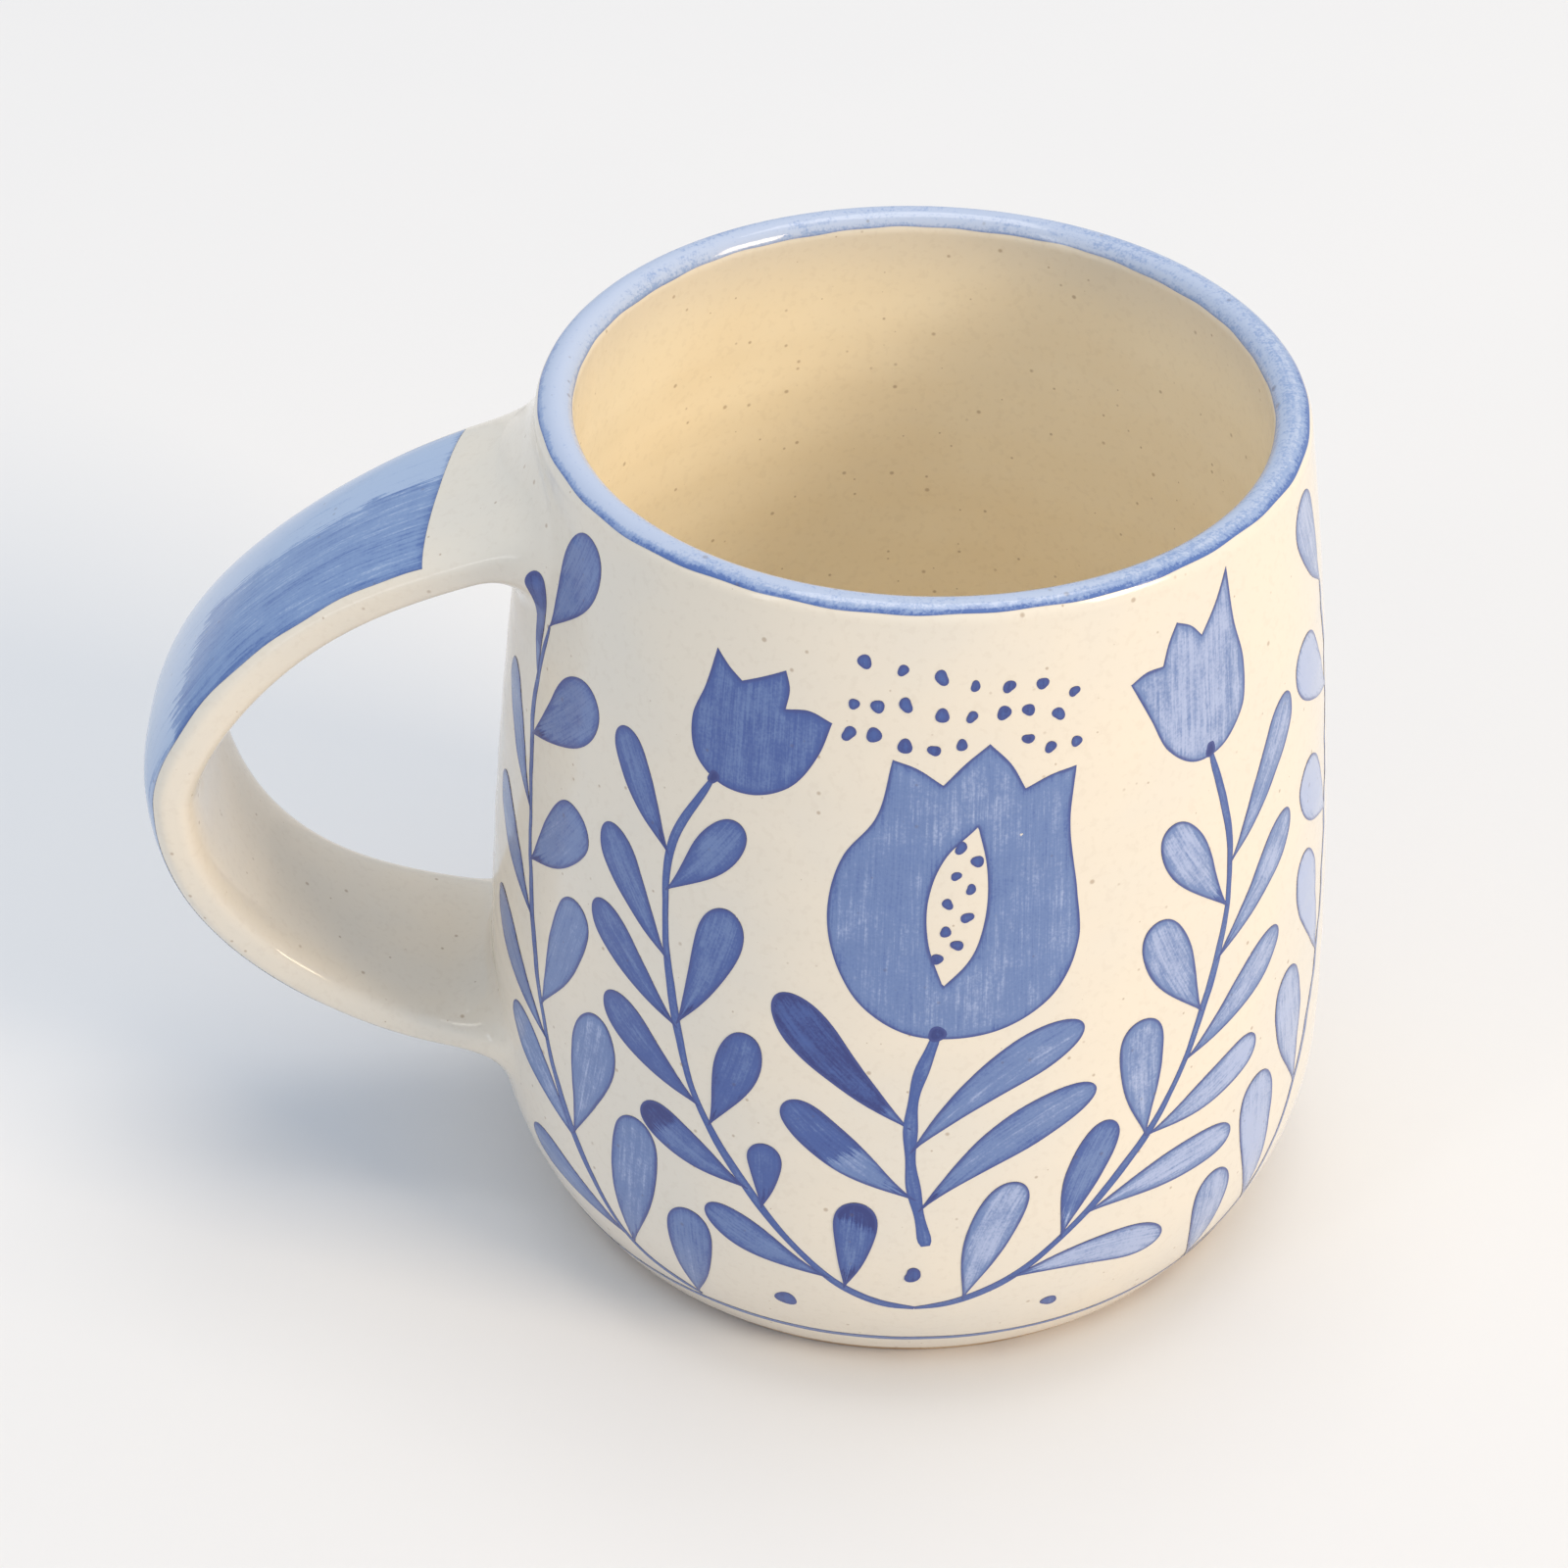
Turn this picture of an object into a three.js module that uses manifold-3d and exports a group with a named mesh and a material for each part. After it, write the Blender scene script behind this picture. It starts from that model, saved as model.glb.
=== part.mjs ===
// Hand-thrown stoneware mug: a flared, round-shouldered cup with a pulled strap handle luted on at
// an upper and a lower slip joint. Millimetres, +Z up. The origin is the centre of the foot, on the
// surface the mug rests on. The handle points along -X.
import * as THREE from 'three';
import { mergeVertices } from 'three/addons/utils/BufferGeometryUtils.js';
import Module from 'manifold-3d';

// ---- driving dimensions --------------------------------------------------------------------
const mugHeight = 94.4;
const rimRadius = 38.0; // outside of the lip
const lipRadius = 1.9; // the lip is a half-round bead, so the wall is twice this thick at the rim
const bellyRadius = 44.2; // widest part of the cup
const bellyHeight = 21.0;
const footRadius = 36.2; // flat, unglazed foot
const footBevel = 0.8; // wiped edge between the foot and the rounded base
const bellyWall = 4.6;
const floorThickness = 6.0;
const floorCorner = 15.0; // how far the inner wall rounds into the floor
const baseFlare = 2.4; // the base sets off outwards by this much
const baseLift = 2.4; // while it climbs by this much
const shoulderSwell = 2.9; // the wall still stands this far outside the rim
const shoulderHeight = 74.0; // at this height, where it starts to close in

const handleReach = 75.6; // strap centreline at its furthest from the cup's axis
const handleReachHeight = 52.5;
const upperJointHeight = 83.0; // strap centreline where it meets the wall
const lowerJointHeight = 21.6;
const upperSlope = THREE.MathUtils.degToRad(15.5); // strap leaves the wall downwards at the top
const lowerSlope = THREE.MathUtils.degToRad(8); // and a little upwards at the bottom
const upperPull = 26.5; // how far each end holds its direction before it bends
const lowerPull = 20.0;
const elbowAbove = 5.5; // the elbow bends tighter above its furthest point than below
const elbowBelow = 17.0;
const strapHalfWidth = 12.4;
const strapWaist = 0.8; // wider by this at both ends and at the elbow, narrower between them
const strapHalfThicknessEnds = 2.6;
const strapHalfThicknessElbow = 3.2;
const strapDish = 0.4; // shallow hollow along the finger side
const outerSquareness = 2.4; // superellipse exponents: domed outside, nearly square finger side
const fingerSquareness = 5.0;

const filletLength = 6.5; // how far a slip joint reaches up the strap
const filletSpread = 5.0; // how far it spreads on the wall
const jointGap = 0.3; // between pieces that touch
const jointEdge = 0.5; // thickness left at the joint's feathered edges

const roundness = 0.552; // share of a corner's size that makes a cubic curve follow a quarter circle

// ---- mesh density --------------------------------------------------------------------------
const cupSides = 64;
const sectionSides = 28;
const strapSteps = 40;
const filletSteps = 6;

const glaze = { color: 0xf1e6d4, roughness: 0.22, metalness: 0.0 };

const wasm = await Module();
wasm.setup();

// ---- solids --------------------------------------------------------------------------------
function toManifold(geometry) {
  const bare = geometry.clone();
  bare.deleteAttribute('normal');
  bare.deleteAttribute('uv');
  const merged = mergeVertices(bare, 1e-4);
  return new wasm.Manifold(
    new wasm.Mesh({
      numProp: 3,
      vertProperties: new Float32Array(merged.attributes.position.array),
      triVerts: new Uint32Array(merged.index.array),
    }),
  );
}

function toMesh(name, manifold, look) {
  const result = manifold.getMesh();
  const geometry = new THREE.BufferGeometry();
  geometry.setAttribute('position', new THREE.BufferAttribute(new Float32Array(result.vertProperties), 3));
  geometry.setIndex(new THREE.BufferAttribute(new Uint32Array(result.triVerts), 1));
  geometry.computeVertexNormals();
  const mesh = new THREE.Mesh(geometry, new THREE.MeshStandardMaterial(look));
  mesh.name = name;
  return mesh;
}

// A closed solid through a list of equal rings of points, with a fan over each end.
function loft(rings) {
  const sides = rings[0].length;
  const points = rings.flat();
  const faces = [];
  for (let ring = 0; ring + 1 < rings.length; ring += 1) {
    for (let side = 0; side < sides; side += 1) {
      const a = ring * sides + side;
      const b = ring * sides + ((side + 1) % sides);
      faces.push(a, b + sides, b, a, a + sides, b + sides);
    }
  }
  for (const [ring, flip] of [[0, false], [rings.length - 1, true]]) {
    const centre = new THREE.Vector3();
    rings[ring].forEach((point) => centre.addScaledVector(point, 1 / sides));
    points.push(centre);
    for (let side = 0; side < sides; side += 1) {
      const a = ring * sides + side;
      const b = ring * sides + ((side + 1) % sides);
      faces.push(points.length - 1, flip ? b : a, flip ? a : b);
    }
  }
  const geometry = new THREE.BufferGeometry().setFromPoints(points);
  geometry.setIndex(faces);
  return geometry;
}

// ---- cup -----------------------------------------------------------------------------------
const lipHeight = mugHeight - lipRadius; // centre of the lip bead
const vec2 = (radius, height) => new THREE.Vector2(radius, height);

// Outside of the wall, from the foot's wiped edge to the belly and from the belly to the lip.
const baseCurve = new THREE.CubicBezierCurve(
  vec2(footRadius + footBevel, footBevel),
  vec2(footRadius + baseFlare, footBevel + baseLift),
  vec2(bellyRadius, bellyHeight / 2),
  vec2(bellyRadius, bellyHeight),
);
const wallCurve = new THREE.CubicBezierCurve(
  vec2(bellyRadius, bellyHeight),
  vec2(bellyRadius, bellyHeight * 2),
  vec2(rimRadius + shoulderSwell, shoulderHeight),
  vec2(rimRadius, lipHeight),
);

// Radius of the outside of the cup at a height.
function wallRadius(height) {
  const curve = height < bellyHeight ? baseCurve : wallCurve;
  let low = 0;
  let high = 1;
  for (let step = 0; step < 40; step += 1) {
    const middle = (low + high) / 2;
    if (curve.getPoint(middle).y < height) low = middle;
    else high = middle;
  }
  return curve.getPoint(low).x;
}

function outsideProfile() {
  return [...baseCurve.getPoints(8), ...wallCurve.getPoints(12).slice(1)];
}

function insideProfile() {
  const innerBelly = bellyRadius - bellyWall;
  const wall = new THREE.CubicBezierCurve(
    vec2(rimRadius - 2 * lipRadius, lipHeight),
    vec2(rimRadius + shoulderSwell - bellyWall, shoulderHeight),
    vec2(innerBelly, bellyHeight * 2),
    vec2(innerBelly, floorThickness + floorCorner),
  );
  const corner = new THREE.CubicBezierCurve(
    vec2(innerBelly, floorThickness + floorCorner),
    vec2(innerBelly, floorThickness + floorCorner * (1 - roundness)),
    vec2(innerBelly - floorCorner * (1 - roundness), floorThickness),
    vec2(innerBelly - floorCorner, floorThickness),
  );
  return [...wall.getPoints(10), ...corner.getPoints(7).slice(1), vec2(0, floorThickness)];
}

function revolve(profile) {
  return new THREE.LatheGeometry(profile, cupSides).rotateX(Math.PI / 2);
}

function makeCup() {
  const lip = new THREE.Path();
  lip.absarc(rimRadius - lipRadius, lipHeight, lipRadius, 0, Math.PI, false);
  const profile = [
    vec2(0, 0),
    vec2(footRadius, 0),
    ...outsideProfile(),
    ...lip.getPoints(8).slice(1, -1),
    ...insideProfile(),
  ];
  return toManifold(revolve(profile));
}

// The cup's outer shape as a full solid, grown all round by the gap, used to trim what meets it.
function makeCupTrimmer() {
  const profile = outsideProfile().map((point) => vec2(point.x + jointGap, point.y));
  return toManifold(revolve([
    vec2(0, -mugHeight),
    vec2(footRadius + jointGap, -mugHeight),
    ...profile,
    vec2(rimRadius + jointGap, 2 * mugHeight),
    vec2(0, 2 * mugHeight),
  ]));
}

// ---- handle --------------------------------------------------------------------------------
// The strap's centreline in the handle's plane: radius from the axis and height.
const polar = (length, angle) => vec2(length * Math.cos(angle), length * Math.sin(angle));
const upperJoint = vec2(wallRadius(upperJointHeight), upperJointHeight);
const lowerJoint = vec2(wallRadius(lowerJointHeight), lowerJointHeight);
const upperCurve = new THREE.CubicBezierCurve(
  upperJoint,
  upperJoint.clone().add(polar(upperPull, -upperSlope)),
  vec2(handleReach, handleReachHeight + elbowAbove),
  vec2(handleReach, handleReachHeight),
);
const lowerCurve = new THREE.CubicBezierCurve(
  vec2(handleReach, handleReachHeight),
  vec2(handleReach, handleReachHeight - elbowBelow),
  lowerJoint.clone().add(polar(lowerPull, lowerSlope)),
  lowerJoint,
);
const centreline = new THREE.CurvePath();
centreline.add(upperCurve);
centreline.add(lowerCurve);

// Place, direction and half sizes of the strap at a share of its length. Shares below 0 or above 1
// carry straight on into the wall.
function strapStation(share) {
  const inside = THREE.MathUtils.clamp(share, 0, 1);
  const tangent = centreline.getTangentAt(inside);
  const place = centreline.getPointAt(inside);
  place.addScaledVector(tangent, (share - inside) * centreline.getLength());
  const ends = (2 * inside - 1) ** 2;
  return {
    place,
    tangent,
    halfWidth: strapHalfWidth + strapWaist * Math.cos(4 * Math.PI * inside),
    halfThickness: THREE.MathUtils.lerp(strapHalfThicknessElbow, strapHalfThicknessEnds, ends),
  };
}

// Outline of the strap's section as across (width) and out (away from the fingers) offsets.
function sectionOutline(station, grow, dish) {
  const outline = [];
  for (let side = 0; side < sectionSides; side += 1) {
    const angle = (2 * Math.PI * side) / sectionSides;
    const squareness = Math.sin(angle) > 0 ? outerSquareness : fingerSquareness;
    const squared = (value) => Math.sign(value) * Math.abs(value) ** (2 / squareness);
    const across = squared(Math.cos(angle));
    const out = squared(Math.sin(angle));
    const hollow = out < 0 ? dish * (1 - across ** 2) ** 2 : 0;
    outline.push(vec2(across * (station.halfWidth + grow), out * (station.halfThickness + grow) + hollow));
  }
  return outline;
}

function stationRing(station, outline) {
  const out = vec2(-station.tangent.y, station.tangent.x);
  return outline.map(({ x: across, y: offset }) => new THREE.Vector3(
    -(station.place.x + out.x * offset),
    across,
    station.place.y + out.y * offset,
  ));
}

function strapSolid(grow, dish) {
  const intoWall = 0.05; // share of the strap's length that runs on at each end, to be trimmed
  const rings = [];
  for (let step = 0; step <= strapSteps; step += 1) {
    const station = strapStation(-intoWall + ((1 + 2 * intoWall) * step) / strapSteps);
    rings.push(stationRing(station, sectionOutline(station, grow, dish)));
  }
  return toManifold(loft(rings));
}

// ---- slip joints ---------------------------------------------------------------------------
// A place on the cup's wall beside the handle, lifted off it by a little.
function onWall(across, height, lift) {
  const radius = wallRadius(Math.min(height, lipHeight)) + lift;
  return new THREE.Vector3(-Math.sqrt(radius ** 2 - across ** 2), across, height);
}

// The flared collar of slip that blends one end of the strap into the wall.
function jointCollar(atTop, cupTrimmer, strapTrimmer) {
  const reach = filletLength / centreline.getLength();
  const start = strapStation(atTop ? reach : 1 - reach);
  const end = strapStation(atTop ? 0 : 1);
  const away = atTop ? -1 : 1; // along the centreline towards the wall
  const upwards = atTop ? 1 : -1; // the strap's outer face looks up at the top and down at the bottom
  const lift = jointGap + jointEdge;
  const wallRing = (spread, height) => sectionOutline(end, spread, 0)
    .map((point) => onWall(point.x, end.place.y + upwards * point.y, height));

  const startRing = stationRing(start, sectionOutline(start, lift, 0));
  const endRing = wallRing(filletSpread, lift);
  const innerRing = wallRing(filletSpread - 1, lift);
  const alongStrap = new THREE.Vector3(-start.tangent.x, 0, start.tangent.y)
    .multiplyScalar(away * filletLength * roundness);
  const fillets = startRing.map((from, side) => {
    const to = endRing[side];
    const alongWall = innerRing[side].clone().sub(to).setLength(filletSpread * roundness);
    return new THREE.CubicBezierCurve3(from, from.clone().add(alongStrap), to.clone().add(alongWall), to);
  });
  const rings = [];
  for (let step = 0; step <= filletSteps; step += 1) {
    rings.push(fillets.map((fillet) => fillet.getPoint(step / filletSteps)));
  }
  rings.push(wallRing(filletSpread, -1));
  const flared = toManifold(loft(atTop ? rings.reverse() : rings));
  return flared.subtract(cupTrimmer).subtract(strapTrimmer);
}

// ---- the mug -------------------------------------------------------------------------------
const cupTrimmer = makeCupTrimmer();
const strapTrimmer = strapSolid(jointGap, 0);

const mug = new THREE.Group();
mug.name = 'stoneware_mug';
mug.add(toMesh('cup_body', makeCup(), glaze));
mug.add(toMesh('strap_handle', strapSolid(0, strapDish).subtract(cupTrimmer), glaze));
mug.add(toMesh('upper_slip_joint', jointCollar(true, cupTrimmer, strapTrimmer), glaze));
mug.add(toMesh('lower_slip_joint', jointCollar(false, cupTrimmer, strapTrimmer), glaze));

export default mug;
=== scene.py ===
import math

import bpy
import numpy as np
from mathutils import Matrix, Vector
from mathutils.bvhtree import BVHTree


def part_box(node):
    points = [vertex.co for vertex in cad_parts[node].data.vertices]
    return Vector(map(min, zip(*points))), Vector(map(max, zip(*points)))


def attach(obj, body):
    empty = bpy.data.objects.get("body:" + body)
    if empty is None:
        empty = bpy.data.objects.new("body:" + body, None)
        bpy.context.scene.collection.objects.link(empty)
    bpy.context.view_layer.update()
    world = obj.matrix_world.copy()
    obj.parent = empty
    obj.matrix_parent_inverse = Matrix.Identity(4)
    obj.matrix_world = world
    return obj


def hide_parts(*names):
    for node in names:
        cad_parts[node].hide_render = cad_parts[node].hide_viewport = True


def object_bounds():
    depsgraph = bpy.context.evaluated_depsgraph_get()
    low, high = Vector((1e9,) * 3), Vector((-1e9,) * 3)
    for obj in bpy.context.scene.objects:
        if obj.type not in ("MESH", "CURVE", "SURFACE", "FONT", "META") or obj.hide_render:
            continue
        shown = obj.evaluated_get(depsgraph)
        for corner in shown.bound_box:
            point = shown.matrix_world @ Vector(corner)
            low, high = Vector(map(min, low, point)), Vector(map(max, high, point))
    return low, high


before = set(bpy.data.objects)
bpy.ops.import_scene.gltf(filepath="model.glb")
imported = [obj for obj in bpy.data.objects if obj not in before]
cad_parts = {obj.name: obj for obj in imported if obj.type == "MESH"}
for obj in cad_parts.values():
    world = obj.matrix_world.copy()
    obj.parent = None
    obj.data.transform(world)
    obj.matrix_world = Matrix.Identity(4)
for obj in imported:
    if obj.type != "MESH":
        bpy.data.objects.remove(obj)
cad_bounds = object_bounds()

MM = 0.001
TURN = 2 * math.pi
SEED = 7

# ---- sizes of the clay, as in the CAD model --------------------------------------------------
cup_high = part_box("cup_body")[1]
MUG_HEIGHT = cup_high.z / MM
BELLY_RADIUS = cup_high.x / MM
RIM_RADIUS = 38.0
LIP_RADIUS = 1.9
LIP_HEIGHT = MUG_HEIGHT - LIP_RADIUS
BELLY_HEIGHT = 21.0
FOOT_RADIUS = 36.2
FOOT_BEVEL = 0.8
BELLY_WALL = 4.6
FLOOR_THICKNESS = 6.0
FLOOR_CORNER = 15.0
BASE_FLARE = 2.4
BASE_LIFT = 2.4
SHOULDER_SWELL = 2.9
SHOULDER_HEIGHT = 74.0
ROUNDNESS = 0.552  # share of a corner's size that makes a cubic curve follow a quarter circle

HANDLE_REACH = 75.6
HANDLE_REACH_HEIGHT = 52.5
UPPER_JOINT_HEIGHT = 83.0
LOWER_JOINT_HEIGHT = 21.6
UPPER_SLOPE = math.radians(15.5)
LOWER_SLOPE = math.radians(8)
UPPER_PULL = 26.5
LOWER_PULL = 20.0
ELBOW_ABOVE = 5.5
ELBOW_BELOW = 17.0
STRAP_HALF_WIDTH = 12.4
STRAP_WAIST = 0.8
STRAP_HALF_THICKNESS_ENDS = 2.6
STRAP_HALF_THICKNESS_ELBOW = 3.2
STRAP_DISH = 0.4
OUTER_SQUARENESS = 2.4
FINGER_SQUARENESS = 4.4

# ---- sizes that only the looks have ----------------------------------------------------------
GLAZE_EDGE = 0.9  # the glaze stops this far up the wall from the foot's bevel
GLAZE_THICKNESS = 0.15
SLIP_REACH = 5.4  # a joint's slip runs this far up the strap
SLIP_SQUARENESS = 2.3  # of the outline that it leaves on the wall
SLIP_HEIGHT = 3.5  # paint climbs this far up it
SLIP_STEPS = 26
SLIP_PULL = 0.4  # share of its width that it runs on with the strap, or the wall, before it bends
RING_PITCH = 7.5  # throwing rings
FINE_RING_PITCH = 3.1
RING_DEPTH_OUTSIDE = 0.03
RING_DEPTH_INSIDE = 0.035
PAINT_LIFT = 0.03  # the films stand this far proud of the clay
PAINT_STEP = 0.003  # and each later stroke a little more
PAINT_SKIRT = 0.05  # their edges drop this far into it
PATTERN_RADIUS = 42.0  # of the cylinder that the flat pattern sheet is rolled on


def lerp(low, high, share):
    return low + (high - low) * share


def angles_round(count):
    """Evenly spaced angles once round, in radians."""
    return np.arange(count) * TURN / count


def unit(vectors):
    """The same directions at length one, a row each."""
    return vectors / np.linalg.norm(vectors, axis=1)[:, None]


def waves(around, *terms):
    """How far a hand-made line wanders: each wave has a size, a number of turns and a phase."""
    return sum(size * np.sin(turns * around + phase) for size, turns, phase in terms)


def bezier(points, shares):
    """Points of a cubic Bezier curve at shares of its parameter, one row each."""
    a, b, c, d = (np.asarray(point, float) for point in points)
    t = np.asarray(shares, float)[:, None]
    return a * (1 - t) ** 3 + 3 * b * t * (1 - t) ** 2 + 3 * c * t ** 2 * (1 - t) + d * t ** 3


def lengths_along(points):
    """Distance of each point from the first, measured along the polyline."""
    steps = np.linalg.norm(np.diff(points, axis=0), axis=1)
    return np.concatenate([[0.0], np.cumsum(steps)])


class Path:
    """A smooth polyline that can be asked for places and directions by distance along it."""

    def __init__(self, points):
        keep = np.concatenate([[True], np.linalg.norm(np.diff(points, axis=0), axis=1) > 1e-9])
        self.points = points[keep]
        self.distance = lengths_along(self.points)
        self.length = self.distance[-1]
        self.slopes = unit(np.gradient(self.points, self.distance, axis=0))

    def place(self, distance):
        return tuple(np.interp(distance, self.distance, axis) for axis in self.points.T)

    def slope(self, distance):
        x, y = (np.interp(distance, self.distance, axis) for axis in self.slopes.T)
        size = np.hypot(x, y)
        return x / size, y / size


# ---- the cup's skin --------------------------------------------------------------------------
def cup_outline():
    """The cup's profile as radius and height: up the outside, over the lip, down the inside."""
    fine = np.linspace(0, 1, 400)
    base = bezier([
        (FOOT_RADIUS + FOOT_BEVEL, FOOT_BEVEL),
        (FOOT_RADIUS + BASE_FLARE, FOOT_BEVEL + BASE_LIFT),
        (BELLY_RADIUS, BELLY_HEIGHT / 2),
        (BELLY_RADIUS, BELLY_HEIGHT),
    ], fine)
    wall = bezier([
        (BELLY_RADIUS, BELLY_HEIGHT),
        (BELLY_RADIUS, BELLY_HEIGHT * 2),
        (RIM_RADIUS + SHOULDER_SWELL, SHOULDER_HEIGHT),
        (RIM_RADIUS, LIP_HEIGHT),
    ], fine)
    angle = np.linspace(0, math.pi, 60)
    lip = np.stack([
        RIM_RADIUS - LIP_RADIUS + LIP_RADIUS * np.cos(angle),
        LIP_HEIGHT + LIP_RADIUS * np.sin(angle),
    ], 1)
    inner_belly = BELLY_RADIUS - BELLY_WALL
    inside = bezier([
        (RIM_RADIUS - 2 * LIP_RADIUS, LIP_HEIGHT),
        (RIM_RADIUS + SHOULDER_SWELL - BELLY_WALL, SHOULDER_HEIGHT),
        (inner_belly, BELLY_HEIGHT * 2),
        (inner_belly, FLOOR_THICKNESS + FLOOR_CORNER),
    ], fine)
    corner = bezier([
        (inner_belly, FLOOR_THICKNESS + FLOOR_CORNER),
        (inner_belly, FLOOR_THICKNESS + FLOOR_CORNER * (1 - ROUNDNESS)),
        (inner_belly - FLOOR_CORNER * (1 - ROUNDNESS), FLOOR_THICKNESS),
        (inner_belly - FLOOR_CORNER, FLOOR_THICKNESS),
    ], fine)
    floor = np.array([(inner_belly - FLOOR_CORNER, FLOOR_THICKNESS), (0.0, FLOOR_THICKNESS)])
    outside = Path(np.vstack([base, wall]))
    return outside, Path(np.vstack([base, wall, lip, inside, corner, floor]))


OUTSIDE, SKIN = cup_outline()
RIM_EQUATOR = OUTSIDE.length
LIP_END = RIM_EQUATOR + math.pi * LIP_RADIUS


def along_at_height(height):
    """Distance up the outside of the wall at a height."""
    return np.interp(height, OUTSIDE.points[:, 1], OUTSIDE.distance)


def smooth_step(value, low, high):
    share = np.clip((value - low) / (high - low), 0, 1)
    return share * share * (3 - 2 * share)


def fade_in_out(value, in_from, in_to, out_from, out_to):
    return smooth_step(value, in_from, in_to) * (1 - smooth_step(value, out_from, out_to))


RINGS_OUTSIDE = (12, 30, RIM_EQUATOR - 18, RIM_EQUATOR - 4)  # where they fade in and out
RINGS_INSIDE = (LIP_END + 3, LIP_END + 16, LIP_END + 60, LIP_END + 80)


def hand_thrown(around, along):
    """How far the skin departs from a perfect lathe shape: throwing rings and a thin glaze edge."""
    spiral = np.sin(TURN * along / RING_PITCH - around)
    spiral = spiral + 0.4 * np.sin(TURN * along / FINE_RING_PITCH + 2 * around)
    outside = fade_in_out(along, *RINGS_OUTSIDE)
    inside = fade_in_out(along, *RINGS_INSIDE)
    rings = spiral * (RING_DEPTH_OUTSIDE * outside + RING_DEPTH_INSIDE * inside)
    bare = GLAZE_THICKNESS * (1 - smooth_step(along, GLAZE_EDGE - 0.05, GLAZE_EDGE + 0.3))
    return rings - bare


def round_the_axis(around, radius, height):
    """Points at an angle round the axis, in radians from the -Y side."""
    return np.stack([radius * np.sin(around), -radius * np.cos(around), height + 0 * around], -1)


def cup_skin(around, along, lift=0.0):
    """Points of the cup's skin, by angle round the axis and distance along the profile."""
    radius, height = SKIN.place(along)
    slope_r, slope_z = SKIN.slope(along)
    swell = hand_thrown(around, along) + lift
    return round_the_axis(around, radius + slope_z * swell, height - slope_r * swell)


def wall_sheet(across, up):
    """The pattern sheet wrapped round the cup: millimetres across, and up from the foot's bevel."""
    return over_slip(cup_skin(np.asarray(across) / PATTERN_RADIUS, np.asarray(up)))


slip_surfaces = []  # the two slip joints, once they are made


def over_slip(points):
    """Lifts the wall's points that a slip joint covers onto the joint's own surface."""
    beside = (points[..., 0] < -BELLY_RADIUS / 4) & (np.abs(points[..., 1]) < 2 * STRAP_HALF_WIDTH)
    for index in zip(*np.nonzero(beside)):
        place = Vector(points[index])
        outward = Vector((place.x, place.y, 0)).normalized()
        for surface in slip_surfaces:
            hit = surface.ray_cast(place + outward * SLIP_HEIGHT, -outward, SLIP_HEIGHT)[0]
            if hit is not None:
                points[index] = hit
    return points


# ---- the handle's skin -----------------------------------------------------------------------
def pulled_out(radius, height, pull, slope):
    """The place that the strap heads for as it leaves the wall."""
    return radius + pull * math.cos(slope), height + pull * math.sin(slope)


def handle_path():
    """The strap's centreline in its own plane, as distance from the cup's axis and height."""
    fine = np.linspace(0, 1, 400)
    upper_radius = float(OUTSIDE.place(along_at_height(UPPER_JOINT_HEIGHT))[0])
    lower_radius = float(OUTSIDE.place(along_at_height(LOWER_JOINT_HEIGHT))[0])
    upper = bezier([
        (upper_radius, UPPER_JOINT_HEIGHT),
        pulled_out(upper_radius, UPPER_JOINT_HEIGHT, UPPER_PULL, -UPPER_SLOPE),
        (HANDLE_REACH, HANDLE_REACH_HEIGHT + ELBOW_ABOVE),
        (HANDLE_REACH, HANDLE_REACH_HEIGHT),
    ], fine)
    lower = bezier([
        (HANDLE_REACH, HANDLE_REACH_HEIGHT),
        (HANDLE_REACH, HANDLE_REACH_HEIGHT - ELBOW_BELOW),
        pulled_out(lower_radius, LOWER_JOINT_HEIGHT, LOWER_PULL, LOWER_SLOPE),
        (lower_radius, LOWER_JOINT_HEIGHT),
    ], fine)
    return Path(np.vstack([upper, lower]))


STRAP = handle_path()


def strap_sizes(along):
    """Half width and half thickness of the strap at a distance along it."""
    share = np.clip(along / STRAP.length, 0, 1)
    half_width = STRAP_HALF_WIDTH + STRAP_WAIST * np.cos(2 * TURN * share)
    half_thickness = lerp(STRAP_HALF_THICKNESS_ELBOW, STRAP_HALF_THICKNESS_ENDS, (2 * share - 1) ** 2)
    return half_width, half_thickness


def strap_point(along, across, out):
    """A point beside the strap's centreline; it carries straight on past both ends."""
    inside = np.clip(along, 0, STRAP.length)
    place_r, place_z = STRAP.place(inside)
    slope_r, slope_z = STRAP.slope(inside)
    radius = place_r + slope_r * (along - inside) - slope_z * out
    height = place_z + slope_z * (along - inside) + slope_r * out
    return np.stack([-radius, across + 0 * radius, height], -1)


def squared_off(value, squareness):
    """A sine or cosine bent so that the circle it belongs to becomes squarer."""
    return np.sign(value) * np.abs(value) ** (2 / squareness)


def strap_section(along, angle, grow=0.0):
    """Across and out offsets of the strap's outline: domed outside, nearly square finger side."""
    half_width, half_thickness = strap_sizes(along)
    squareness = np.where(np.sin(angle) > 0, OUTER_SQUARENESS, FINGER_SQUARENESS)
    across = squared_off(np.cos(angle), squareness)
    out = squared_off(np.sin(angle), squareness)
    hollow = np.where(out < 0, STRAP_DISH * (1 - across ** 2) ** 2, 0)
    return across * (half_width + grow), out * (half_thickness + grow) + hollow


def strap_dome(across_share, along):
    """The strap's domed outer face, by share of its half width and distance along it."""
    half_width, half_thickness = strap_sizes(along)
    out = half_thickness * (1 - np.abs(across_share) ** OUTER_SQUARENESS) ** (1 / OUTER_SQUARENESS)
    return strap_point(along, across_share * half_width, out)


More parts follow.
